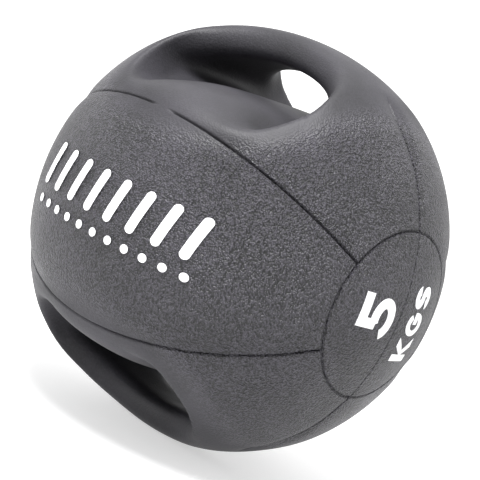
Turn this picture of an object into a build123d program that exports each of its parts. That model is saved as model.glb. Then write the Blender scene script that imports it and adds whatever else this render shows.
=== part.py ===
from build123d import *
from math import atan2, cos, degrees, radians, sin
import os

# Double-grip medicine ball. Origin at the centre of the ball, +Z through the
# upper grip, +X through one weight cap, the printed panel faces -Y.

# Hull and cover, mm
round_radius = 132.4          # hull radius around the grip axis
axis_radius = 137.5           # hull radius along the grip axis
cover_thickness = 4.0
groove_width = 1.6
gore_angle = 60.0             # six gores around the X axis
cap_radius = 53.5

# Hand tunnels, one above and one below the core, open to front and back
tunnel_half_width = 67.5
tunnel_half_height = 42.0
tunnel_centre_z = 98.0
floor_crest_z = 89.4
floor_edge_z = 65.5
floor_roll_depth = 150.0      # the floor also curves about an axis this far below centre
liner_thickness = 4.0
tunnel_reach = 140.0          # half length of the bore, past the hull at both ends

# Grip bars
bar_outer_radius = 134.0
bar_inner_radius = 112.8
bar_half_width = 25.0
bar_half_angle = 40.0
bar_rounding = 8.0

# Carcass and bladder
cavity_radius = 118.5
cavity_half_height = 78.5
cavity_side_radius = 63.0     # rounding of the cavity's rim, in section
bladder_wall = 2.5

# Inflation valve in the middle of the rear panel
valve_radius = 6.0
valve_flange_radius = 12.0
valve_length = 19.0
valve_recess = 1.5
plug_radius = 2.0
plug_head_radius = 3.6
plug_head_depth = 2.5
plug_length = 16.0

# Printed marks, a raised film of ink
ink_thickness = 0.25
digit_height = 29.0
digit_stroke = 6.3
digit_offset = 20.5           # from the cap's middle, towards the top of the digit
stem_across = -4.0            # middle of the stem of the 5
stem_length = 14.5
flag_end = 14.0               # right end of the top stroke of the 5
bowl_width = 26.0
bowl_height = 19.5
bowl_end = -163.0             # degrees, where the bowl of the 5 ends
bowl_turn = 276.0             # degrees, from the end of the bowl round to the stem
letter_width = 16.0
letter_height = 19.0
letter_stroke = 4.6
arm_slant = 1.3               # width of a slanted arm's end over the stroke width
letter_pitch = 17.0
letter_offset = -20.5
g_mouth = 40.0                # degrees, where the open side of the G begins
g_squeeze = 0.8
s_stretch = 1.2
s_mouth = 15.0                # degrees, where the open sides of the S begin
stripe_count = 8
stripe_pitch = 17.5
stripe_length = 28.0
stripe_width = 6.0
stripe_lean = 12.0            # degrees off upright
stripe_z = 8.0
dot_count = 11
dot_pitch = 12.5
dot_radius = 2.6
dot_z = -15.0

reach = 200.0                 # cutters run past the hull by this much


def spheroid(shrink):
    """Solid hull, moved inwards by shrink."""
    width = round_radius - shrink
    height = axis_radius - shrink
    with BuildPart() as solid:
        with BuildSketch(Plane.XZ):
            with BuildLine():
                side = EllipticalCenterArc((0, 0), width, height, start_angle=-90, arc_size=180)
                Line(side @ 1, side @ 0)
            make_face()
        revolve(axis=Axis.Z)
    return solid.part


def core_side(shrink):
    """Ends of the right half of the flattened core's outline, moved inwards by shrink."""
    side_centre = cavity_radius - cavity_side_radius
    rise = cavity_half_height - cavity_side_radius
    drop = (side_centre**2 - rise**2) / (2 * rise)
    lean = degrees(atan2(drop, side_centre))
    dome = cavity_half_height + drop - shrink
    bottom = CenterArc((0, drop), dome, -90, 90 - lean)
    CenterArc((side_centre, 0), cavity_side_radius - shrink, -lean, 2 * lean)
    top = CenterArc((0, -drop), dome, lean, 90 - lean)
    return bottom @ 0, top @ 1


def core_space(shrink):
    """Flattened space inside the carcass, moved inwards by shrink."""
    with BuildPart() as space:
        with BuildSketch(Plane.XZ):
            with BuildLine():
                bottom, top = core_side(shrink)
                Line(top, bottom)
            make_face()
        revolve(axis=Axis.Z)
    return space.part


def tunnel_space(grow):
    """Upper hand tunnel, an oval bore over a domed floor, grown by grow."""
    with BuildPart() as tunnel:
        with BuildSketch(Plane.XZ):
            with Locations((0, tunnel_centre_z)):
                Ellipse(tunnel_half_width + grow, tunnel_half_height + grow)
        extrude(amount=tunnel_reach, both=True)
        with BuildSketch(Plane.YZ):
            with BuildLine():
                crest = ThreePointArc(
                    (-tunnel_reach, floor_edge_z - grow),
                    (0, floor_crest_z - grow),
                    (tunnel_reach, floor_edge_z - grow),
                )
                Polyline(
                    crest @ 1,
                    (tunnel_reach, -floor_roll_depth),
                    (-tunnel_reach, -floor_roll_depth),
                    crest @ 0,
                )
            make_face()
        revolve(axis=Axis((0, 0, -floor_roll_depth), (0, 1, 0)), mode=Mode.SUBTRACT)
    return tunnel.part


def bar_solid():
    """Upper grip bar, an arched bar whose feet run into the ball at both ends."""
    with BuildPart() as bar:
        with BuildSketch(Plane.XZ):
            with BuildLine():
                outer = CenterArc((0, 0), bar_outer_radius, 90 - bar_half_angle, 2 * bar_half_angle)
                inner = CenterArc((0, 0), bar_inner_radius, 90 - bar_half_angle, 2 * bar_half_angle)
                Line(outer @ 0, inner @ 0)
                Line(outer @ 1, inner @ 1)
            make_face()
        extrude(amount=bar_half_width, both=True)
        long_edges = bar.edges().filter_by(GeomType.CIRCLE)
        fillet(long_edges, bar_rounding)
    return bar.part


def below(upper):
    """The same piece on the other side of the core, turned about the X axis."""
    return upper.rotate(Axis.X, 180)


hull = spheroid(0)
hull_under_cover = spheroid(cover_thickness)
inked_hull = spheroid(-ink_thickness)
tunnel = tunnel_space(0)
envelope = tunnel_space(liner_thickness)
bar = bar_solid()
openings = [envelope, below(envelope), bar, below(bar)]
finished = {}


def finish(part, label):
    """Name a piece and keep it for writing."""
    part.label = label
    finished[label] = part


def on_gore(angle, distance):
    """Point in the YZ plane, at an angle turned up from -Y."""
    return (-distance * cos(radians(angle)), distance * sin(radians(angle)))


def gore_panel(middle_angle):
    """Cover panel between two grooves, its middle turned up from -Y by middle_angle."""
    half = gore_angle / 2
    tip = on_gore(middle_angle, groove_width / 2 / sin(radians(half)))
    upper = on_gore(middle_angle + half, reach)
    lower = on_gore(middle_angle - half, reach)
    with BuildPart() as panel:
        add(hull)
        add(hull_under_cover, mode=Mode.SUBTRACT)
        with BuildSketch(Plane.YZ):
            Polygon(tip, upper, lower, align=None)
        extrude(amount=reach, both=True, mode=Mode.INTERSECT)
        with BuildSketch(Plane.YZ):
            Circle(cap_radius + groove_width)
        extrude(amount=reach, both=True, mode=Mode.SUBTRACT)
        for opening in openings:
            add(opening, mode=Mode.SUBTRACT)
    return panel.part


def valve_cut(panel):
    """The same panel with a hole for the valve stem."""
    with BuildPart() as holed:
        add(panel)
        with BuildSketch(Plane.XZ):
            Circle(valve_radius)
        extrude(amount=-reach, mode=Mode.SUBTRACT)
    return holed.part


def cap_plane(side):
    """Plane through the centre facing a cap, with the top of the cap's print towards its y."""
    return Plane(origin=(0, 0, 0), x_dir=(0, 0, 1), z_dir=(side, 0, 0))


def weight_cap(side):
    """Round panel at one end of the X axis."""
    with BuildPart() as cap:
        add(hull)
        add(hull_under_cover, mode=Mode.SUBTRACT)
        with BuildSketch(cap_plane(side)):
            Circle(cap_radius)
        extrude(amount=reach, mode=Mode.INTERSECT)
    return cap.part


def tunnel_liner():
    """Smooth rubber trough that forms the floor and end walls of the upper hand tunnel."""
    with BuildPart() as liner:
        add(hull)
        add(envelope, mode=Mode.INTERSECT)
        add(tunnel, mode=Mode.SUBTRACT)
        add(bar, mode=Mode.SUBTRACT)
    return liner.part


def carcass_half(side):
    """Thick rubber body on one side of the parting plane; side is the sign of its Y."""
    with BuildPart() as half:
        add(hull_under_cover)
        add(core_space(0), mode=Mode.SUBTRACT)
        with BuildSketch(Plane.XZ):
            Circle(reach)
        extrude(amount=-side * reach, mode=Mode.INTERSECT)
        for opening in openings:
            add(opening, mode=Mode.SUBTRACT)
        with BuildSketch(Plane.XZ):
            Circle(valve_radius)
        extrude(amount=-reach, mode=Mode.SUBTRACT)
    return half.part


def bladder_shell():
    """Thin airtight bag lining the carcass, open only at the valve stem."""
    with BuildPart() as bag:
        add(core_space(0))
        add(core_space(bladder_wall), mode=Mode.SUBTRACT)
        with BuildSketch(stem_plane()):
            Circle(valve_radius)
        extrude(amount=-valve_length, mode=Mode.SUBTRACT)
    return bag.part


def stem_plane():
    """Outer end of the valve stem, facing out of the ball."""
    return Plane(origin=(0, round_radius - valve_recess, 0), x_dir=(1, 0, 0), z_dir=(0, 1, 0))


def valve():
    """Rubber stem with an inner flange that seals against the bladder."""
    with BuildPart() as body:
        with BuildSketch(stem_plane()):
            Circle(valve_flange_radius)
        extrude(amount=-valve_length)
        add(core_space(bladder_wall), mode=Mode.INTERSECT)
        with BuildSketch(stem_plane()):
            Circle(valve_radius)
        extrude(amount=-valve_length)
        with BuildSketch(stem_plane()):
            Circle(plug_radius)
        extrude(amount=-valve_length, mode=Mode.SUBTRACT)
        with BuildSketch(stem_plane()):
            Circle(plug_head_radius)
        extrude(amount=-plug_head_depth, mode=Mode.SUBTRACT)
    return body.part


def plug():
    """Push-in plug that closes the bore of the valve stem."""
    with BuildPart() as pin:
        with BuildSketch(stem_plane()):
            Circle(plug_head_radius)
        extrude(amount=-plug_head_depth)
        with BuildSketch(stem_plane()):
            Circle(plug_radius)
        extrude(amount=-plug_length)
    return pin.part


def ink(plane, sketch):
    """Film of ink on the hull under a flat outline drawn on a plane through the centre."""
    with BuildPart() as mark:
        add(plane * sketch)
        extrude(amount=reach, dir=plane.z_dir)
        add(inked_hull, mode=Mode.INTERSECT)
        add(hull, mode=Mode.SUBTRACT)
    return mark.part


def digit_five(centre):
    """Outline of a bold 5, its middle at a height above the sketch origin."""
    top = centre + (digit_height - digit_stroke) / 2
    foot = centre + digit_height / 2 - stem_length
    wide = (bowl_width - digit_stroke) / 2
    high = (bowl_height - digit_stroke) / 2
    bowl_centre = centre - (digit_height - bowl_height) / 2
    with BuildSketch() as outline:
        with BuildLine():
            Polyline((flag_end, top), (stem_across, top), (stem_across, foot))
            EllipticalCenterArc((0, bowl_centre), wide, high, bowl_end, arc_size=bowl_turn)
        trace(line_width=digit_stroke)
    return outline.sketch


def letter_k(across, centre):
    """Outline of a block K."""
    left = across - letter_width / 2
    stem = left + letter_stroke
    right = across + letter_width / 2
    foot = right - letter_stroke * arm_slant
    waist = stem + letter_stroke * arm_slant / 2
    crotch = letter_stroke / 4
    half = letter_height / 2
    with BuildSketch() as outline:
        Polygon(
            (left, centre - half),
            (stem, centre - half),
            (stem, centre - crotch),
            (foot, centre - half),
            (right, centre - half),
            (waist, centre),
            (right, centre + half),
            (foot, centre + half),
            (stem, centre + crotch),
            (stem, centre + half),
            (left, centre + half),
            align=None,
        )
    return outline.sketch


def letter_g(across, centre):
    """Outline of a narrow round G with a short bar."""
    bowl = (letter_height - letter_stroke) / 2
    with BuildSketch() as outline:
        with BuildLine():
            rim = CenterArc((0, 0), bowl, g_mouth, 360 - g_mouth)
            Polyline(rim @ 1, (0, 0))
        trace(line_width=letter_stroke)
        scale(by=(g_squeeze, 1, 1))
    return Pos(across, centre) * outline.sketch


def letter_s(across, centre):
    """Outline of a round S made of two open bowls."""
    bowl = (letter_height - letter_stroke) / 4
    turn = 270 - s_mouth
    with BuildSketch() as outline:
        with BuildLine():
            CenterArc((0, bowl), bowl, s_mouth, turn)
            CenterArc((0, -bowl), bowl, 90, -turn)
        trace(line_width=letter_stroke)
        scale(by=(s_stretch, 1, 1))
    return Pos(across, centre) * outline.sketch


def stripes():
    """Row of leaning rounded stripes, a plain pattern across the front panel."""
    with BuildSketch() as outline:
        with Locations((0, stripe_z)):
            with GridLocations(stripe_pitch, 1, stripe_count, 1):
                SlotOverall(stripe_length, stripe_width, rotation=90 - stripe_lean)
    return outline.sketch


def dots():
    """Row of round dots below the stripes."""
    with BuildSketch() as outline:
        with Locations((0, dot_z)):
            with GridLocations(dot_pitch, 1, dot_count, 1):
                Circle(dot_radius)
    return outline.sketch


finish(gore_panel(0), "front_panel")
finish(valve_cut(gore_panel(180)), "rear_panel")
finish(gore_panel(60), "upper_front_panel")
finish(gore_panel(120), "upper_rear_panel")
finish(gore_panel(-60), "lower_front_panel")
finish(gore_panel(-120), "lower_rear_panel")
finish(weight_cap(1), "right_cap")
finish(weight_cap(-1), "left_cap")
liner = tunnel_liner()
finish(liner, "upper_tunnel_liner")
finish(below(liner), "lower_tunnel_liner")
finish(bar, "upper_grip_bar")
finish(below(bar), "lower_grip_bar")
finish(carcass_half(-1), "front_carcass")
finish(carcass_half(1), "rear_carcass")
finish(bladder_shell(), "bladder")
finish(valve(), "valve_stem")
finish(plug(), "valve_plug")
for side, name in ((1, "right"), (-1, "left")):
    finish(ink(cap_plane(side), digit_five(digit_offset)), f"{name}_digit")
    finish(ink(cap_plane(side), letter_k(-letter_pitch, letter_offset)), f"{name}_letter_k")
    finish(ink(cap_plane(side), letter_g(0, letter_offset)), f"{name}_letter_g")
    finish(ink(cap_plane(side), letter_s(letter_pitch, letter_offset)), f"{name}_letter_s")
finish(ink(Plane.XZ, stripes()), "front_stripes")
finish(ink(Plane.XZ, dots()), "front_dots")

os.makedirs("parts", exist_ok=True)
for label, part in finished.items():
    export_step(part, f"parts/{label}.step")
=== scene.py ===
from math import cos, radians, sin

import bmesh
import bpy
import numpy as np
import openvdb
from mathutils import Matrix, Vector


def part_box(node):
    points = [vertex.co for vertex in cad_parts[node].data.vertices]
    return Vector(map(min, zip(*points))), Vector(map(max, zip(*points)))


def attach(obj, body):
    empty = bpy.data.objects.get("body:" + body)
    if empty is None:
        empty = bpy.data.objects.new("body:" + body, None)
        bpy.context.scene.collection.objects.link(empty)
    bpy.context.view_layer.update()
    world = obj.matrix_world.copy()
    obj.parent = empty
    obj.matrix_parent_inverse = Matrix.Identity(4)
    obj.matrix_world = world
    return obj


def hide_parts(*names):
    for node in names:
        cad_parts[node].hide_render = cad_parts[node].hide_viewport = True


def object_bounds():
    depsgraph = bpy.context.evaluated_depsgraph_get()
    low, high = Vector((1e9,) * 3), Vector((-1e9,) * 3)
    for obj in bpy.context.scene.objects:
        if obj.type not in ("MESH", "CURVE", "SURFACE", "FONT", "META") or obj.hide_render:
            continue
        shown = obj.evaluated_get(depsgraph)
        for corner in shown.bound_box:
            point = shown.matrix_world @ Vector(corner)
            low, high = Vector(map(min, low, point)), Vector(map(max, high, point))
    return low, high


# Double-grip medicine ball. Metres, in the frame of the CAD model: origin at the ball's
# centre, +Z through the upper grip, +X through one weight cap, printed panel facing -Y.

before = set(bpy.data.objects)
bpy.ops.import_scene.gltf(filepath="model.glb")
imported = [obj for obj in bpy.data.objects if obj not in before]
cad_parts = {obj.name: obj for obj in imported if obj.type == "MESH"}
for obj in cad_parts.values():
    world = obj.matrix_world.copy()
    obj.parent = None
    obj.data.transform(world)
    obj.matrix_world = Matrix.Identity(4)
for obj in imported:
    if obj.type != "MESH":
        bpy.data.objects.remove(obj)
cad_low, cad_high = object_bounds()

# ---------------------------------------------------------------- driving dimensions
ROUND_RADIUS = 0.1324               # hull radius round the grip axis, as in the CAD model
AXIS_RADIUS = 0.1375                # hull radius along the grip axis

# The core that the tunnels pass over, a squared-off pillow
CORE_X = 0.110
CORE_Y = 0.1466
CORE_Z = 0.0894
CORE_SQUARENESS = 3.0
CORE_STEEPNESS = 4.4                # least slope of the core's field, per metre

# End walls of the tunnels, an oval, and the round corner between floor and wall
WALL_Z = 0.098
WALL_X = 0.0635
WALL_DROP = 0.0405
CORNER_RADIUS = 0.010
RIM_ROUNDING = 0.0085
DISH_DEPTH = 0.0095                 # hollow beside each end of the floor, at front and back
DISH_X = 0.053
DISH_Y = 0.070
DISH_LENGTH = 0.017
DISH_WIDTH = 0.024

# Grip bars, an arch about the centre of the ball, flaring into the hull at both ends
BAR_INNER = 0.11275
BAR_DROP = 0.0036                   # top of the bar below the hull, at its middle
BAR_HALF_WIDTH = 0.0235
BAR_FLARE = 0.0275                  # extra half width where the bar joins the hull
BAR_JOIN_X = 0.0605
BAR_EDGE_BLEND = 0.018
BAR_BLEND = 0.014
BAR_PIECE_ANGLE = radians(17)       # each grip bar piece ends this far from the grip axis
SKIN_BLEND = 0.003
ROOT_DIP = 0.0014                   # hollow in the hull where each end of a bar joins it
ROOT_DIP_X = 0.064
ROOT_DIP_LENGTH = 0.022
ROOT_DIP_WIDTH = 0.036
ROOT_DIP_HEIGHT = (0.07, 0.11)      # starts and is complete at these heights

# Grooves between the panels
GORE_ANGLE = radians(30)
CAP_RADIUS = 0.0537                 # groove round each weight cap, from the X axis
GROOVE_DEPTH = 0.0022
GROOVE_HALF_WIDTH = 0.0010
CAP_GROOVE_DEPTH = 0.0015
FLASH_DEPTH = 0.0006                # mould line across each cap
FLASH_HALF_WIDTH = 0.0006
VALLEY_DEPTH = 0.0011               # soft valley along each gore groove
VALLEY_HALF_WIDTH = 0.0065
SEAM_VALLEY_DEPTH = 0.0024          # soft valley along the seam from each grip to the cap
VALVE_HOLE_RADIUS = 0.0061

# Fades, each a pair: where something starts and where it is complete
LEAVE_CAP = (-0.0004, 0.0008)       # gore groove and seam, outwards from the cap's groove
LEAVE_RIM = (0.0, 0.004)            # gore groove, outwards from the tunnel
LEAVE_MIDDLE = (0.003, 0.013)       # gore groove, along X from the middle of the ball
LOWER_MIDDLE = 0.75                 # share of its depth that a lower one keeps there
VALLEY_FADE = (0.0, 0.012)          # valley of a gore groove, from the tunnel and from the cap
CAP_SIDE = (0.08, 0.1)              # groove round the cap, along X
SEAM_START = (0.062, 0.074)         # seam, along X
SEAM_VALLEY_START = (0.058, 0.078)  # its valley, along X
SEAM_VALLEY_NARROWS = (0.07, 0.11)
SEAM_VALLEY_SHALLOWS = (0.085, 0.115)
SEAM_VALLEY_END = (0.0, 0.01)       # its valley, outwards from the cap's groove
SEAM_HEIGHT = (0.035, 0.045)        # seam and valley, along Z
GRAIN_FADE = (0.005, 0.026)         # pebble grain, outwards from the tunnel

# Which faces of the surface belong to a grip bar or a cap
BAR_FACES_FROM = 0.103              # distance from the Y axis, between the floor and the bar
BAR_FACES_WIDTH = 0.04              # half width
CAP_FACES_X = 0.08

# Fineness of the meshes
VOXEL = 0.0021
CARCASS_VOXEL = 0.0042
REACH = 0.143                       # half width of the cube that is searched for the surface
PROBE = 2e-4                        # step over which the slope of a field is measured
SMOOTHING_ROUNDS = 8
SMOOTHING_SHARE = 0.6               # of the way to the middle of a point's neighbours
PANEL_SNAP = 0.35                   # share of an edge that a vertex may move onto a piece's edge
GROOVE_SNAP = 0.25                  # and onto the loops that give a groove its section
ON_LINE = 0.03                      # share of an edge that counts as already on the line
SKIN_THICKNESS = 0.0032
CARCASS_GAP = 0.0044                # carcass surface below the outer surface
PARTING_GAP = 0.0002                # each carcass half ends this far from the parting plane
SMOOTH_MARGIN = 0.004               # smooth moulding reaches this far past the tunnel's rim

# Camera, seen from the centre of the ball
CAMERA_AZIMUTH = radians(37.16)     # from -Y towards +X
CAMERA_ELEVATION = radians(7.68)
CAMERA_ROLL = radians(22.29)
CAMERA_DISTANCE = 7.68 * AXIS_RADIUS
CAMERA_SHIFT = (0.00053, -0.00119)  # to its own right and upwards
CAMERA_LENS = 124.3                 # millimetres


# ---------------------------------------------------------------- shape as distance fields
def step_up(value, low, high):
    """0 below low, 1 above high, smooth between."""
    share = np.clip((value - low) / (high - low), 0, 1)
    return share * share * (3 - 2 * share)


def soft_max(a, b, blend):
    """Larger of two fields, with the crease rounded over the blend distance."""
    share = np.maximum(blend - np.abs(a - b), 0) / blend
    return np.maximum(a, b) + share ** 3 * blend / 6


def soft_min(a, b, blend):
    """Smaller of two fields, rounded in the same way."""
    return -soft_max(-a, -b, blend)


def oval_distance(radii, *offsets):
    """Near distance to an ellipse or ellipsoid."""
    tiny = 1e-9
    near = np.sqrt(sum((o / r) ** 2 for o, r in zip(offsets, radii))) + tiny
    slope = np.sqrt(sum((o / r ** 2) ** 2 for o, r in zip(offsets, radii))) + tiny / min(radii)
    return near * (near - 1) / slope


def hull_distance(p):
    """Near distance to the round outside of the ball."""
    radii = (ROUND_RADIUS, ROUND_RADIUS, AXIS_RADIUS)
    return oval_distance(radii, p[:, 0], p[:, 1], p[:, 2])


def core_distance(p):
    """Near distance to the pillow-shaped core, negative inside."""
    x, y, z = np.abs(p).T
    power = CORE_SQUARENESS
    value = (x / CORE_X) ** 2 + (y / CORE_Y) ** power + (z / CORE_Z) ** power - 1
    slope = np.sqrt(
        (2 * x / CORE_X ** 2) ** 2
        + (power * y ** (power - 1) / CORE_Y ** power) ** 2
        + (power * z ** (power - 1) / CORE_Z ** power) ** 2
    )
    dish = np.exp(-((x - DISH_X) / DISH_LENGTH) ** 2 - ((y - DISH_Y) / DISH_WIDTH) ** 2)
    return value / np.maximum(slope, CORE_STEEPNESS) + DISH_DEPTH * dish


def wall_distance(p):
    """Near distance to the end walls of the tunnel, negative between them."""
    height = np.minimum(np.abs(p[:, 2]) - WALL_Z, 0)
    return oval_distance((WALL_X, WALL_DROP), p[:, 0], height)


def tunnel_distance(p):
    """Hand tunnels above and below the core, negative inside them."""
    floor = CORNER_RADIUS - core_distance(p)
    wall = CORNER_RADIUS + wall_distance(p)
    corner = np.hypot(np.maximum(floor, 0), np.maximum(wall, 0))
    return np.minimum(np.maximum(floor, wall), 0) + corner - CORNER_RADIUS


def bar_distance(p):
    """Grip bars, negative inside, as far as the hull on both sides."""
    share = np.abs(p[:, 0]) / BAR_JOIN_X
    top = hull_distance(p) + BAR_DROP * np.maximum(1 - share ** 2, 0)
    bottom = BAR_INNER - np.hypot(p[:, 0], p[:, 2])
    side = np.abs(p[:, 1]) - BAR_HALF_WIDTH - BAR_FLARE * np.minimum(share, 1.2) ** 3
    return soft_max(soft_max(top, bottom, BAR_EDGE_BLEND), side, BAR_EDGE_BLEND)


def body_distance(p):
    """The ball with its tunnels, without the grip bars."""
    return soft_max(hull_distance(p), -tunnel_distance(p), RIM_ROUNDING)


def ball_distance(p):
    """The whole ball before the grooves are pressed in."""
    joined = soft_min(body_distance(p), bar_distance(p), BAR_BLEND)
    along = (np.abs(p[:, 0]) - ROOT_DIP_X) / ROOT_DIP_LENGTH
    dip = ROOT_DIP * np.exp(-along ** 2 - (p[:, 1] / ROOT_DIP_WIDTH) ** 2)
    dip = dip * step_up(np.abs(p[:, 2]), *ROOT_DIP_HEIGHT)
    return soft_max(joined, hull_distance(p) + dip, SKIN_BLEND)


def slope_of(field, p):
    """Unit vectors along which a field grows fastest."""
    slope = np.empty_like(p)
    for axis in range(3):
        shift = np.zeros(3)
        shift[axis] = PROBE
        slope[:, axis] = field(p + shift) - field(p - shift)
    return slope / np.maximum(np.linalg.norm(slope, axis=1, keepdims=True), 1e-12)


def settle(field, p, rounds=3):
    """Move points onto the surface where a field is zero."""
    for _ in range(rounds):
        direction = slope_of(field, p)
        rate = (field(p + direction * PROBE) - field(p - direction * PROBE)) / (2 * PROBE)
        p = p - direction * (field(p) / np.maximum(rate, 0.3))[:, None]
    return p


def surface_of(field, voxel):
    """Even quads on the surface where a field is zero."""
    count = int(2 * REACH / voxel) + 1
    line = (np.arange(count) - (count - 1) / 2) * voxel
    values = np.empty((count, count, count), np.float32)
    across, up = np.meshgrid(line, line, indexing="ij")
    for i, x in enumerate(line):
        sheet = np.column_stack([np.full(across.size, x), across.ravel(), up.ravel()])
        values[i] = field(sheet).reshape(count, count)
    grid = openvdb.FloatGrid(float(voxel))
    grid.copyFromArray(values)
    points, _, quads = grid.convertToPolygons(isovalue=0.0, adaptivity=0.0)
    points = points.astype(float) * voxel + line[0]
    quads = np.asarray(quads, int)
    middle = points[quads].mean(axis=1)
    sides = points[quads[:, 2]] - points[quads[:, 0]]
    others = points[quads[:, 3]] - points[quads[:, 1]]
    outward = np.einsum("ij,ij->i", np.cross(sides, others), slope_of(field, middle))
    if outward.sum() < 0:
        quads = quads[:, ::-1]
    starts = quads.ravel()
    ends = np.roll(quads, -1, axis=1).ravel()
    degree = np.bincount(starts, minlength=len(points))
    for _ in range(SMOOTHING_ROUNDS):
        total = np.column_stack(
            [np.bincount(starts, points[ends, axis], len(points)) for axis in range(3)]
        )
        points = points + SMOOTHING_SHARE * (total / degree[:, None] - points)
        points = settle(field, points, 1)
    return settle(field, points), quads


# ---------------------------------------------------------------- cutting edge loops
def cut_along(bm, field, snap):
    """Cut an edge loop where a field is zero, moving vertices onto it that are within snap."""
    lock = bm.verts.layers.int["lock"]
    bm.verts.ensure_lookup_table()
    places = np.array([v.co for v in bm.verts])
    values = field(places)
    bm.verts.index_update()
    for edge in bm.edges:
        first, second = edge.verts
        a, b = values[first.index], values[second.index]
        if a * b >= 0:
            continue
        share = a / (a - b)
        vert, other, moved = (first, second, share) if share < 0.5 else (second, first, 1 - share)
        if moved < snap and not vert[lock] and values[vert.index] != 0:
            vert.co = vert.co.lerp(other.co, moved)
            values[vert.index] = 0
        elif moved < ON_LINE:
            values[vert.index] = 0
    on_line = [v for v in bm.verts if values[v.index] == 0]
    crossing = []
    for edge in bm.edges:
        first, second = edge.verts
        a, b = values[first.index], values[second.index]
        if a * b < 0:
            crossing.append((edge, first, a / (a - b)))
    for edge, first, share in crossing:
        _, vert = bmesh.utils.edge_split(edge, first, share)
        on_line.append(vert)
    for vert in on_line:
        vert[lock] = 1
    bmesh.ops.connect_verts(bm, verts=on_line)
    bm.verts.index_update()


def gore_plane(angle, offset):
    """Field of a plane through the X axis, turned up from -Y by an angle, moved by offset."""
    return lambda p: p[:, 1] * sin(angle) + p[:, 2] * cos(angle) - offset


def cap_ring(offset):
    """Field of a tube round the X axis."""
    return lambda p: np.hypot(p[:, 1], p[:, 2]) - CAP_RADIUS - offset


def valve_ring(p):
    """Field of the valve hole, only on the rear panel."""
    return np.where(p[:, 1] > 0, np.hypot(p[:, 0], p[:, 2]) - VALVE_HOLE_RADIUS, 1.0)


def bar_end(p):
    """Field that is negative over the middle of each grip bar."""
    return np.abs(p[:, 0]) * cos(BAR_PIECE_ANGLE) - np.abs(p[:, 2]) * sin(BAR_PIECE_ANGLE)


def moulding_edge(p):
    """Field that is negative on the smooth moulding round the tunnels and grips."""
    return tunnel_distance(p) - SMOOTH_MARGIN


# ---------------------------------------------------------------- pressing in the grooves
def vee(distance, half_width):
    """Section of a narrow groove, 1 at its bottom."""
    share = np.abs(distance) / half_width
    return np.maximum(1 - share, 0) * 0.9 + 0.1 * np.exp(-share ** 2)


def gore_depth(p):
    """Depth of the four grooves between the gores, with a soft valley along each."""
    x = np.abs(p[:, 0])
    ring = cap_ring(0)(p)
    away = tunnel_distance(p)
    near_middle = np.maximum(step_up(x, *LEAVE_MIDDLE), LOWER_MIDDLE * (p[:, 2] < 0))
    depth = np.zeros(len(p))
    for angle in (GORE_ANGLE, -GORE_ANGLE):
        distance = gore_plane(angle, 0)(p)
        narrow = GROOVE_DEPTH * vee(distance, GROOVE_HALF_WIDTH) * near_middle
        narrow = narrow * step_up(away, *LEAVE_RIM) * step_up(ring, *LEAVE_CAP)
        wide = VALLEY_DEPTH * np.exp(-(distance / VALLEY_HALF_WIDTH) ** 2)
        wide = wide * step_up(away, *VALLEY_FADE) * step_up(ring, *VALLEY_FADE)
        depth = np.maximum(depth, narrow) + wide
    return depth


def seam_depth(p):
    """Depth of the seam from each end of a grip to the cap, in a valley that narrows."""
    x = np.abs(p[:, 0])
    y = p[:, 1]
    ring = cap_ring(0)(p)
    narrow = GROOVE_DEPTH * vee(y, GROOVE_HALF_WIDTH) * step_up(x, *SEAM_START)
    narrow = narrow * step_up(ring, *LEAVE_CAP)
    half_width = VALLEY_HALF_WIDTH * (1.15 - 0.55 * step_up(x, *SEAM_VALLEY_NARROWS))
    wide = SEAM_VALLEY_DEPTH * np.exp(-(y / half_width) ** 2)
    wide = wide * (1 - 0.75 * step_up(x, *SEAM_VALLEY_SHALLOWS))
    wide = wide * step_up(x, *SEAM_VALLEY_START) * step_up(ring, *SEAM_VALLEY_END)
    return (narrow + wide) * step_up(np.abs(p[:, 2]), *SEAM_HEIGHT)


def cap_depth(p):
    """Depth of the groove round each cap and of the mould line across it."""
    ring = cap_ring(0)(p)
    groove = CAP_GROOVE_DEPTH * vee(ring, GROOVE_HALF_WIDTH)
    groove = groove * step_up(np.abs(p[:, 0]), *CAP_SIDE)
    flash = FLASH_DEPTH * vee(p[:, 1], FLASH_HALF_WIDTH)
    return groove + flash * (1 - step_up(ring, *LEAVE_CAP))


def grain_on(p):
    """How pebbled the rubber is: 1 in full, down to 0.12 on the smooth mouldings."""
    return 0.12 + 0.88 * step_up(tunnel_distance(p), *GRAIN_FADE)


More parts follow.
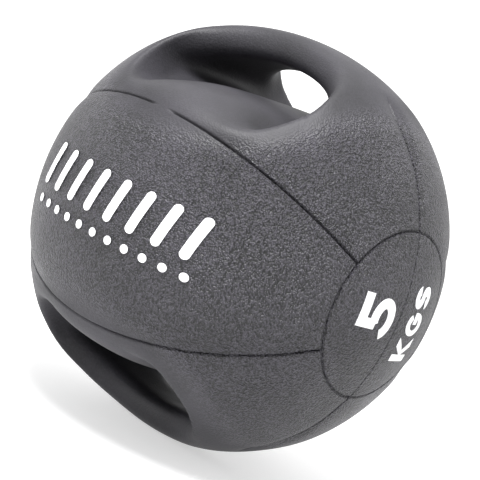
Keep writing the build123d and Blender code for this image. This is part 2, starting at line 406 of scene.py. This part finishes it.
# ---------------------------------------------------------------- the moulded surface
def press_surface():
    """The whole outer surface, cut into loops along the grooves, as arrays."""
    points, quads = surface_of(ball_distance, VOXEL)
    mesh = bpy.data.meshes.new("surface")
    mesh.from_pydata(points.tolist(), [], quads.tolist())
    bm = bmesh.new()
    bm.from_mesh(mesh)
    bpy.data.meshes.remove(mesh)
    bm.verts.layers.int.new("lock")
    planes = [gore_plane(a, 0) for a in (GORE_ANGLE, -GORE_ANGLE, radians(90))]
    for field in [*planes, cap_ring(0), valve_ring, bar_end, moulding_edge]:
        cut_along(bm, field, PANEL_SNAP)
    for side in (-1, 1):
        for share in (0.5, 1.0, 1.7):
            offset = side * share * GROOVE_HALF_WIDTH
            for angle in (GORE_ANGLE, -GORE_ANGLE, radians(90)):
                cut_along(bm, gore_plane(angle, offset), GROOVE_SNAP)
            cut_along(bm, cap_ring(offset), GROOVE_SNAP)
    rest = settle(ball_distance, np.array([v.co for v in bm.verts]), 2)
    outward = slope_of(ball_distance, rest)
    depth = gore_depth(rest) + seam_depth(rest) + cap_depth(rest)
    pressed = rest - outward * depth[:, None]
    for vert, place in zip(bm.verts, pressed):
        vert.co = place
    whole = bpy.data.meshes.new("whole")
    bm.to_mesh(whole)
    bm.free()
    normals = np.empty(len(whole.vertices) * 3, np.float32)
    whole.vertex_normals.foreach_get("vector", normals)
    faces = [tuple(f.vertices) for f in whole.polygons]
    bpy.data.meshes.remove(whole)
    return rest, pressed, normals.reshape(-1, 3).astype(float), faces


def name_faces(rest, faces):
    """The piece that each face of the surface belongs to."""
    middle = np.array([rest[list(f)].mean(axis=0) for f in faces])
    x, y, z = middle.T
    smooth = moulding_edge(middle) < 0
    bar = smooth & (bar_end(middle) < 0)
    bar &= (np.hypot(x, z) > BAR_FACES_FROM) & (np.abs(y) < BAR_FACES_WIDTH)
    turn = np.degrees(np.arctan2(z, -y)) % 360
    names = np.full(len(faces), "front_panel", object)
    # First and last turn of each gore, in degrees up from -Y
    gores = (
        (30, 90, "upper_front_panel"),
        (90, 150, "upper_rear_panel"),
        (150, 210, "rear_panel"),
        (210, 270, "lower_rear_panel"),
        (270, 330, "lower_front_panel"),
    )
    for low, high, name in gores:
        names[(turn >= low) & (turn < high)] = name
    in_cap = cap_ring(0)(middle) < 0
    names[in_cap & (x > CAP_FACES_X)] = "right_cap"
    names[in_cap & (x < -CAP_FACES_X)] = "left_cap"
    names[smooth & (z > 0)] = "upper_tunnel_liner"
    names[smooth & (z < 0)] = "lower_tunnel_liner"
    names[bar & (z > 0)] = "upper_grip_bar"
    names[bar & (z < 0)] = "lower_grip_bar"
    names[(valve_ring(middle) < 0) & (y > 0)] = "hole"
    return names


def closed_skin(name, chosen, rest, places, normals, solid):
    """A closed piece under some faces of the surface: a skin, or a solid with flat ends."""
    used = sorted({v for f in chosen for v in f})
    index = {v: i for i, v in enumerate(used)}
    outer = [tuple(index[v] for v in f) for f in chosen]
    count = len(used)
    top = places[used]
    facing = normals[used]
    open_edges = {}
    for face in outer:
        for a, b in zip(face, face[1:] + face[:1]):
            if (b, a) in open_edges:
                del open_edges[(b, a)]
            else:
                open_edges[(a, b)] = True
    if solid:
        follow = {b: a for a, b in open_edges}
        rims = []
        while follow:
            start, here = follow.popitem()
            loop = [start, here]
            while here in follow:
                here = follow.pop(here)
                loop.append(here)
            rims.append(tuple(loop[:-1]))
        points = top
        extra = rims
    else:
        points = np.vstack([top, top - facing * SKIN_THICKNESS])
        inner = [tuple(v + count for v in reversed(f)) for f in outer]
        walls = [(b, a, a + count, b + count) for a, b in open_edges]
        extra = inner + walls
    mesh = bpy.data.meshes.new(name)
    mesh.from_pydata(points.tolist(), [], outer + extra)
    mesh.update()
    mesh.polygons.foreach_set("use_smooth", [True] * len(mesh.polygons))
    flat = np.empty(len(mesh.polygons) * 3, np.float32)
    mesh.polygon_normals.foreach_get("vector", flat)
    flat = flat.reshape(-1, 3)
    loops = []
    for number, face in enumerate(outer + extra):
        if number < len(outer):
            loops.extend(facing[list(face)].tolist())
        else:
            loops.extend([flat[number].tolist()] * len(face))
    mesh.normals_split_custom_set(loops)
    grain = mesh.attributes.new("grain", "FLOAT", "POINT")
    amount = np.zeros(len(points), np.float32)
    amount[:count] = grain_on(rest[used])
    grain.data.foreach_set("value", amount)
    piece = bpy.data.objects.new(name + "_moulded", mesh)
    bpy.context.scene.collection.objects.link(piece)
    return piece


# ---------------------------------------------------------------- materials
def new_material(name, colour, roughness):
    """A material, with its node tree and its principled shader."""
    material = bpy.data.materials.new(name)
    material.use_nodes = True
    tree = material.node_tree
    shader = tree.nodes["Principled BSDF"]
    shader.inputs["Base Color"].default_value = (*colour, 1)
    shader.inputs["Roughness"].default_value = roughness
    shader.inputs["Specular IOR Level"].default_value = 0.5
    return material, tree, shader


def place_nodes(tree):
    return tree.nodes.new("ShaderNodeTexCoord").outputs["Object"]


def noise(tree, where, scale, detail=2.0, rough=0.5):
    node = tree.nodes.new("ShaderNodeTexNoise")
    node.inputs["Scale"].default_value = scale
    node.inputs["Detail"].default_value = detail
    node.inputs["Roughness"].default_value = rough
    tree.links.new(where, node.inputs["Vector"])
    return node.outputs["Fac"]


def remap(tree, value, low, high, to_low, to_high):
    node = tree.nodes.new("ShaderNodeMapRange")
    node.inputs["From Min"].default_value = low
    node.inputs["From Max"].default_value = high
    node.inputs["To Min"].default_value = to_low
    node.inputs["To Max"].default_value = to_high
    tree.links.new(value, node.inputs["Value"])
    return node.outputs["Result"]


def math_node(tree, kind, a, b):
    node = tree.nodes.new("ShaderNodeMath")
    node.operation = kind
    for socket, value in zip(node.inputs, (a, b)):
        if isinstance(value, (int, float)):
            socket.default_value = value
        else:
            tree.links.new(value, socket)
    return node.outputs["Value"]


def mixed_colour(tree, share, first, second):
    node = tree.nodes.new("ShaderNodeMix")
    node.data_type = "RGBA"
    tree.links.new(share, node.inputs["Factor"])
    node.inputs["A"].default_value = (*first, 1)
    node.inputs["B"].default_value = (*second, 1)
    return node.outputs["Result"]


def pebbled_rubber():
    """Charcoal rubber with a fine pebble grain that fades out on the mouldings; the pebble tops
    are painted lighter as glints and the hollows darker as painted shade.
    """
    material, tree, shader = new_material("pebbled_rubber", (0.05, 0.05, 0.053), 0.5)
    where = place_nodes(tree)
    mask = tree.nodes.new("ShaderNodeAttribute")
    mask.attribute_name = "grain"
    mask = mask.outputs["Fac"]
    cells = tree.nodes.new("ShaderNodeTexVoronoi")
    cells.feature = "SMOOTH_F1"
    cells.inputs["Scale"].default_value = 900
    cells.inputs["Smoothness"].default_value = 0.5
    tree.links.new(where, cells.inputs["Vector"])
    pebbles = remap(tree, cells.outputs["Distance"], 0.1, 0.75, 1.0, 0.0)
    ripples = noise(tree, where, 520, 2, 0.6)
    height = math_node(tree, "ADD", math_node(tree, "MULTIPLY", pebbles, 0.6), ripples)
    bump = tree.nodes.new("ShaderNodeBump")
    bump.inputs["Distance"].default_value = 0.0019
    tree.links.new(math_node(tree, "MULTIPLY", mask, 0.9), bump.inputs["Strength"])
    tree.links.new(height, bump.inputs["Height"])
    tree.links.new(bump.outputs["Normal"], shader.inputs["Normal"])
    # Painted glints and shade: the base colour is lighter on each pebble's top and darker in the
    # hollows between pebbles, fading out on the smooth mouldings.
    pebble_glint_and_shade = math_node(tree, "MULTIPLY", remap(tree, height, 0.55, 1.05, -1, 1), mask)
    clouds = remap(tree, noise(tree, where, 22, 3), 0.3, 0.7, -0.3, 0.3)
    plain = remap(tree, mask, 0.1, 0.8, -0.38, 0.0)
    tone = math_node(tree, "ADD", math_node(tree, "ADD", pebble_glint_and_shade, clouds), plain)
    share = remap(tree, tone, -0.95, 0.95, 0, 1)
    colour = mixed_colour(tree, share, (0.002, 0.002, 0.003), (0.055, 0.051, 0.065))
    tree.links.new(colour, shader.inputs["Base Color"])
    uneven = remap(tree, noise(tree, where, 30, 4), 0.3, 0.7, 0.39, 0.49)
    matt = remap(tree, mask, 0.1, 0.8, 0.16, 0.0)
    tree.links.new(math_node(tree, "ADD", uneven, matt), shader.inputs["Roughness"])
    return material


def plain_rubber(name, dark, light, roughness):
    """Smooth rubber with a faint mould texture and uneven tone."""
    material, tree, shader = new_material(name, dark, roughness)
    where = place_nodes(tree)
    fine = noise(tree, where, 900, 2)
    bump = tree.nodes.new("ShaderNodeBump")
    bump.inputs["Strength"].default_value = 0.25
    bump.inputs["Distance"].default_value = 0.0003
    tree.links.new(fine, bump.inputs["Height"])
    tree.links.new(bump.outputs["Normal"], shader.inputs["Normal"])
    tone = remap(tree, noise(tree, where, 26, 4), 0.35, 0.65, 0, 1)
    tree.links.new(mixed_colour(tree, tone, dark, light), shader.inputs["Base Color"])
    patchy = noise(tree, where, 60, 3)
    uneven = remap(tree, patchy, 0.3, 0.7, roughness - 0.06, roughness + 0.06)
    tree.links.new(uneven, shader.inputs["Roughness"])
    return material


def printed_ink():
    """White ink film, very slightly mottled by the grain below it."""
    material, tree, shader = new_material("white_ink", (0.85, 0.85, 0.86), 0.5)
    where = place_nodes(tree)
    fine = noise(tree, where, 700, 2)
    bump = tree.nodes.new("ShaderNodeBump")
    bump.inputs["Strength"].default_value = 0.3
    bump.inputs["Distance"].default_value = 0.0004
    tree.links.new(fine, bump.inputs["Height"])
    tree.links.new(bump.outputs["Normal"], shader.inputs["Normal"])
    tone = remap(tree, noise(tree, where, 260, 3), 0.3, 0.6, 0, 1)
    colour = mixed_colour(tree, tone, (0.80, 0.80, 0.81), (0.90, 0.90, 0.91))
    tree.links.new(colour, shader.inputs["Base Color"])
    return material


def studio_floor():
    """Plain pale floor that glows like a light table, so that shadows stay faint."""
    material, tree, shader = new_material("pale_floor", (0.9, 0.9, 0.9), 0.7)
    tone = remap(tree, noise(tree, place_nodes(tree), 3, 2), 0.3, 0.7, 0, 1)
    colour = mixed_colour(tree, tone, (0.60, 0.60, 0.60), (0.62, 0.62, 0.62))
    tree.links.new(colour, shader.inputs["Base Color"])
    tree.links.new(colour, shader.inputs["Emission Color"])
    shader.inputs["Emission Strength"].default_value = 0.85
    return material


def outer_pieces(rubber):
    """Panels, caps, tunnel mouldings and grip bars, each a closed piece."""
    rest, places, normals, faces = press_surface()
    names = name_faces(rest, faces)
    for name in sorted(set(names) - {"hole"}):
        chosen = [faces[i] for i in np.nonzero(names == name)[0]]
        piece = closed_skin(name, chosen, rest, places, normals, name.endswith("grip_bar"))
        piece.data.materials.append(rubber)
        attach(piece, "root")
        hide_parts(name)


def carcass_distance(side):
    """Field of one half of the thick inner body, negative inside it."""
    low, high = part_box("bladder")
    radii = ((high.x - low.x) / 2, (high.y - low.y) / 2, (high.z - low.z) / 2)

    def field(p):
        shell = np.maximum(body_distance(p) + CARCASS_GAP, -oval_distance(radii, *p.T))
        stem = VALVE_HOLE_RADIUS - np.hypot(p[:, 0], p[:, 2])
        stem = np.where(p[:, 1] > 0, stem, -1.0)
        return np.maximum(np.maximum(shell, stem), PARTING_GAP - side * p[:, 1])

    return field


def carcass_pieces(rubber):
    """The two halves of the thick body under the cover."""
    for side, name in ((-1, "front_carcass"), (1, "rear_carcass")):
        points, quads = surface_of(carcass_distance(side), CARCASS_VOXEL)
        mesh = bpy.data.meshes.new(name)
        mesh.from_pydata(points.tolist(), [], quads.tolist())
        mesh.polygons.foreach_set("use_smooth", [True] * len(mesh.polygons))
        piece = bpy.data.objects.new(name + "_moulded", mesh)
        bpy.context.scene.collection.objects.link(piece)
        piece.data.materials.append(rubber)
        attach(piece, "root")
        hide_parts(name)


def paint_nodes(nodes, material):
    """Give CAD nodes that stay a material of their own."""
    for name in nodes:
        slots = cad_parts[name].data.materials
        slots.clear()
        slots.append(material)


# ---------------------------------------------------------------- camera, floor and light
def add_camera():
    """Camera aimed at the ball from the front right and a little above, and rolled."""
    level = Vector((cos(CAMERA_AZIMUTH), sin(CAMERA_AZIMUTH), 0))
    back = level.cross(Vector((0, 0, 1))) * cos(CAMERA_ELEVATION)
    back.z = sin(CAMERA_ELEVATION)
    right = level * cos(CAMERA_ROLL) + back.cross(level) * sin(CAMERA_ROLL)
    up = back.cross(right)
    data = bpy.data.cameras.new("camera")
    data.lens = CAMERA_LENS
    data.clip_end = 20
    camera = bpy.data.objects.new("camera", data)
    bpy.context.scene.collection.objects.link(camera)
    place = back * CAMERA_DISTANCE + right * CAMERA_SHIFT[0] + up * CAMERA_SHIFT[1]
    turn = Matrix((right, up, back)).transposed()
    camera.matrix_world = Matrix.Translation(place) @ turn.to_4x4()
    bpy.context.scene.camera = camera
    return camera


def add_floor(height):
    """Floor under the ball, wide enough to fill the picture."""
    bpy.ops.mesh.primitive_grid_add(
        x_subdivisions=8, y_subdivisions=8, size=6, location=(0, 0, height)
    )
    floor = bpy.context.object
    floor.name = "studio_floor"
    floor.data.materials.append(studio_floor())


def add_light(name, place, size, power):
    """Round soft light aimed at the centre of the ball."""
    data = bpy.data.lights.new(name, "AREA")
    data.shape = "DISK"
    data.size = size
    data.energy = power
    light = bpy.data.objects.new(name, data)
    bpy.context.scene.collection.objects.link(light)
    light.location = place
    light.rotation_euler = place.to_track_quat("Z", "Y").to_euler()


def add_world(front):
    """White room, dimmer on the camera's side of the ball."""
    world = bpy.data.worlds.new("studio")
    bpy.context.scene.world = world
    world.use_nodes = True
    tree = world.node_tree
    background = tree.nodes["Background"]
    background.inputs["Color"].default_value = (1, 1, 1, 1)
    facing = tree.nodes.new("ShaderNodeVectorMath")
    facing.operation = "DOT_PRODUCT"
    facing.inputs[1].default_value = front
    tree.links.new(tree.nodes.new("ShaderNodeTexCoord").outputs["Generated"], facing.inputs[0])
    strength = remap(tree, facing.outputs["Value"], -0.2, 0.6, 1.45, 0.45)
    tree.links.new(strength, background.inputs["Strength"])


camera = add_camera()
outer_pieces(pebbled_rubber())
carcass_pieces(plain_rubber("carcass_rubber", (0.03, 0.03, 0.032), (0.05, 0.05, 0.052), 0.7))
bladder_rubber = plain_rubber("bladder_rubber", (0.07, 0.06, 0.055), (0.11, 0.10, 0.09), 0.6)
paint_nodes(["bladder"], bladder_rubber)
valve_rubber = plain_rubber("valve_rubber", (0.02, 0.02, 0.02), (0.04, 0.04, 0.04), 0.5)
paint_nodes(["valve_stem", "valve_plug"], valve_rubber)
ink_nodes = [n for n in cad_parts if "digit" in n or "letter" in n]
paint_nodes([*ink_nodes, "front_stripes", "front_dots"], printed_ink())
add_floor(cad_low.z)
toward = camera.matrix_world.to_3x3()
add_world(toward @ Vector((0, 0, 1)))
add_light("key", toward @ Vector((0.3, 1.25, 0.75)), 0.8, 46)
add_light("fill", toward @ Vector((-1.0, 0.9, 0.7)), 0.8, 6)
bpy.context.scene.view_settings.view_transform = "Standard"
